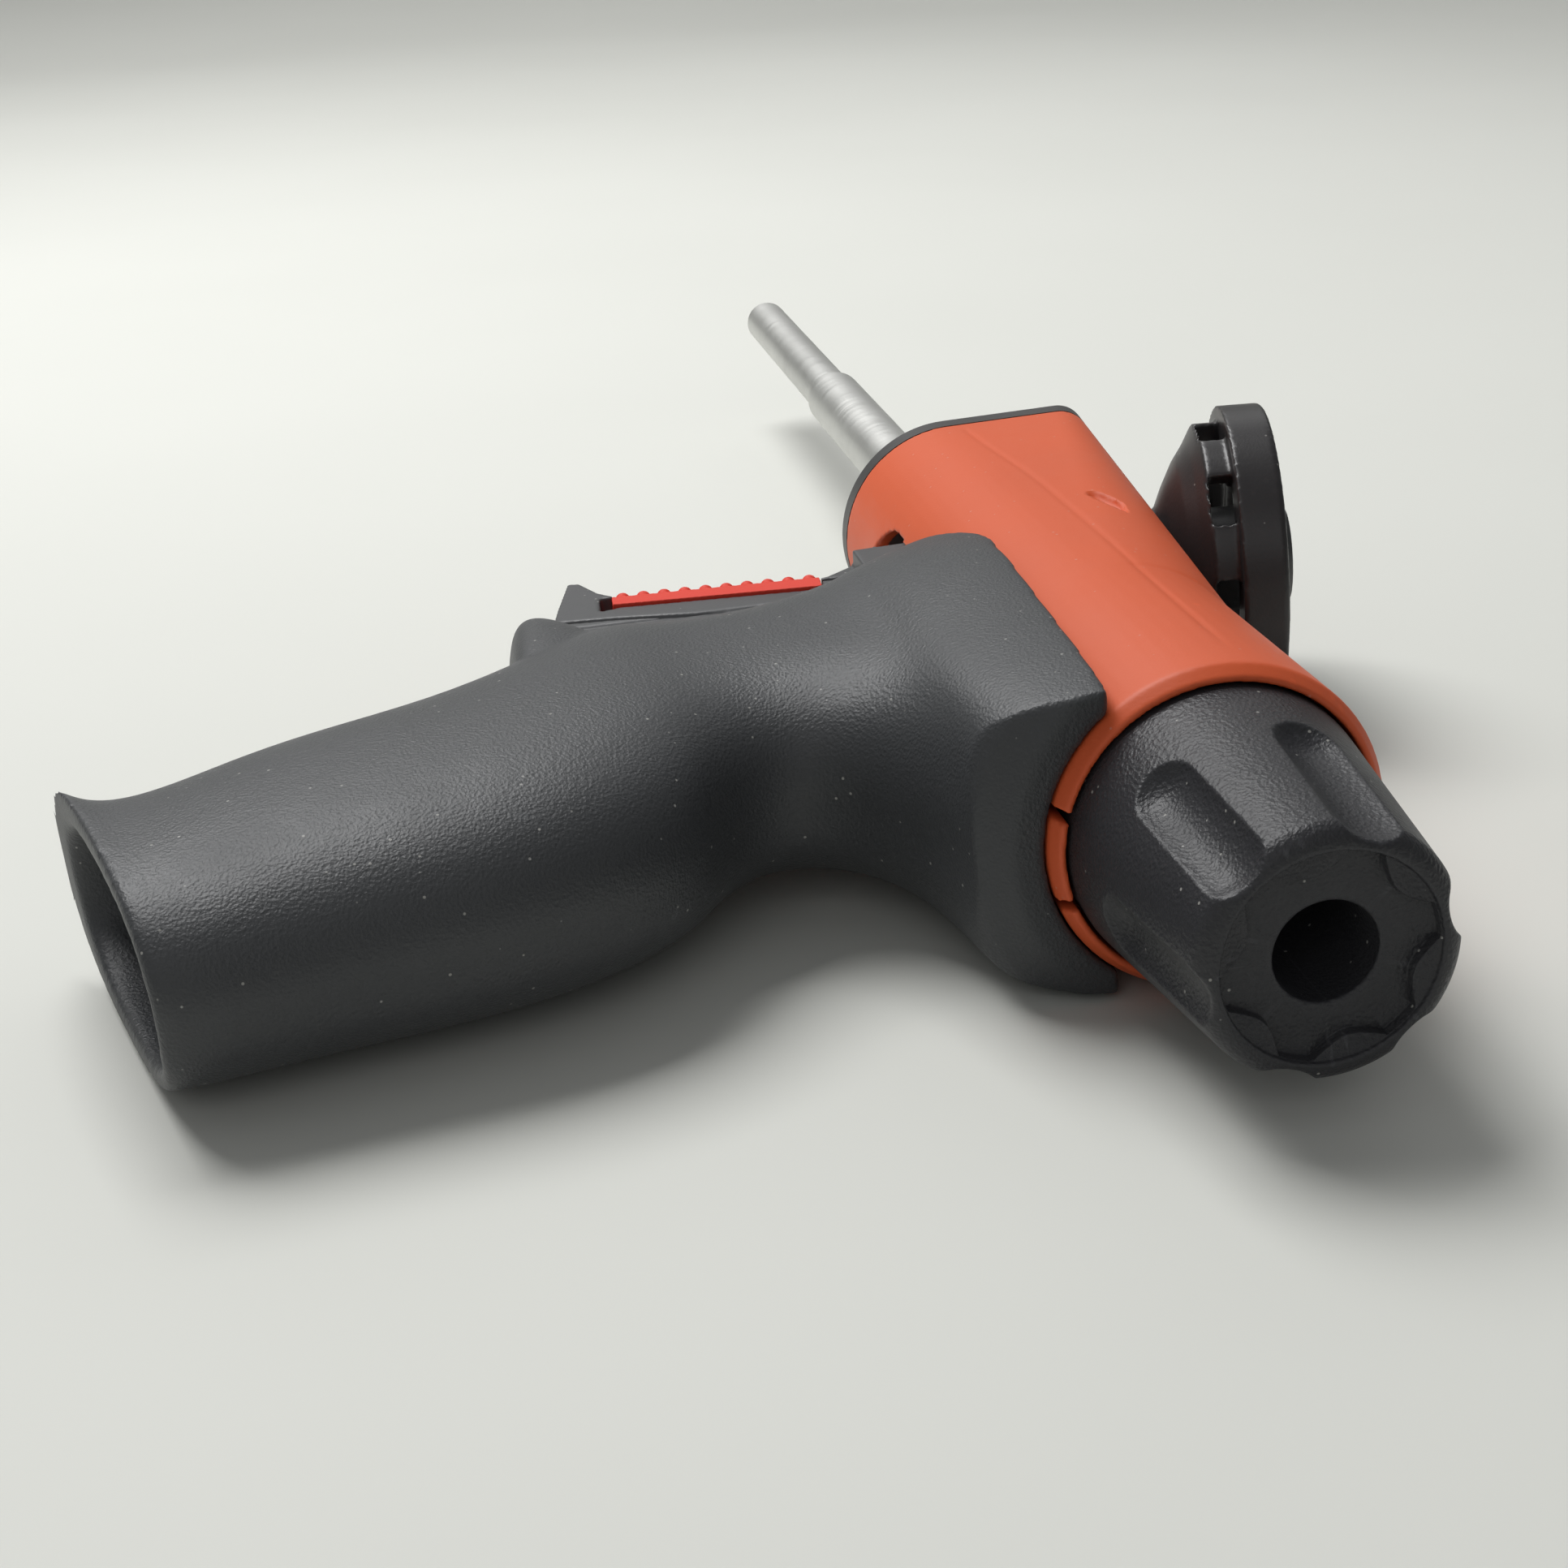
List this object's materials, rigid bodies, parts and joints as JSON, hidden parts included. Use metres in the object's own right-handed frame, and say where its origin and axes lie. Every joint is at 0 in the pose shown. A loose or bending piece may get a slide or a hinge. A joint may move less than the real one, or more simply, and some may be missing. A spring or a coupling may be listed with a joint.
{
  "type": "foam dispensing gun",
  "caption": "Hand gun for screw-on foam cans: long thin barrel, threaded can adapter, trigger with soft pad, hollow pistol grip and rear flow knob.",
  "frame": {"origin": "middle of the bounding box's underside; the gun lies on its right side", "axes": "+X backwards along the barrel axis to the knob, +Y up the can adapter, +Z the gun's left side"},
  "size_m": [0.343, 0.189, 0.048],
  "materials": {
    "housing_red": "satin",
    "cap_black": "satin",
    "adapter_black": "satin",
    "inlet_black": "satin",
    "seal": "matte",
    "steel": "polished",
    "spring_steel": "drawn wire",
    "cast_grey": "as cast",
    "barrel_steel": "satin",
    "steel_rod": "ground",
    "brass": "turned",
    "packing": "smooth",
    "knob_black": "fine grain",
    "trigger_black": "satin",
    "pad_red": "soft satin",
    "grip_black": "fine grain"
  },
  "bodies": {
    "body": {"housing_sleeve": "housing_red", "front_cap": "cap_black", "can_adapter": "adapter_black", "inlet_stem": "inlet_black", "inlet_gasket": "seal", "check_spring": "spring_steel", "valve_body": "cast_grey", "barrel_tube": "barrel_steel", "nozzle_tube": "barrel_steel", "needle_spring": "spring_steel", "spring_seat": "steel_rod", "packing_rings": "packing", "gland_nut": "brass", "trigger_pivot_pin": "steel_rod", "grip": "grip_black", "grip_screw": "spring_steel"},
    "trigger": {"trigger_lever": "trigger_black", "trigger_pad": "pad_red"},
    "needle": {"needle_rod": "steel_rod", "needle_tip": "brass", "needle_collar": "brass"},
    "knob": {"knob": "knob_black", "adjusting_screw": "steel_rod"},
    "stop_nut": {"stop_nut": "brass"},
    "ball": {"check_ball": "steel"}
  },
  "joints": [
    {"name": "trigger_pull", "type": "hinge", "parent": "body", "child": "trigger", "pos_m": [0.0515, 0.05893, 0.024], "axis": [0, 0, 1], "range_deg": [0, 13], "stiffness_Nm_per_rad": 6, "springref_deg": -5.73},
    {"name": "needle_draw", "type": "slide", "parent": "body", "child": "needle", "axis": [1, 0, 0], "range_m": [0, 0.00272], "deforming": ["needle_spring"]},
    {"name": "knob_turn", "type": "hinge", "parent": "body", "child": "knob", "pos_m": [0.1715, 0.04693, 0.024], "axis": [1, 0, 0], "range_deg": [-720, 0]},
    {"name": "stop_nut_travel", "type": "slide", "parent": "body", "child": "stop_nut", "axis": [1, 0, 0], "range_m": [-0.00301, 0]},
    {"name": "ball_lift", "type": "slide", "parent": "body", "child": "ball", "axis": [-0.2164, -0.9763, 0], "range_m": [0, 0.0015], "stiffness_N_per_m": 150, "springref_m": -0.003, "deforming": ["check_spring"]}
  ],
  "couplings": [
    {"joint": "needle_draw", "follows": "trigger_pull", "m_per_rad": 0.012},
    {"joint": "stop_nut_travel", "follows": "knob_turn", "m_per_rad": 0.00023873}
  ]
}
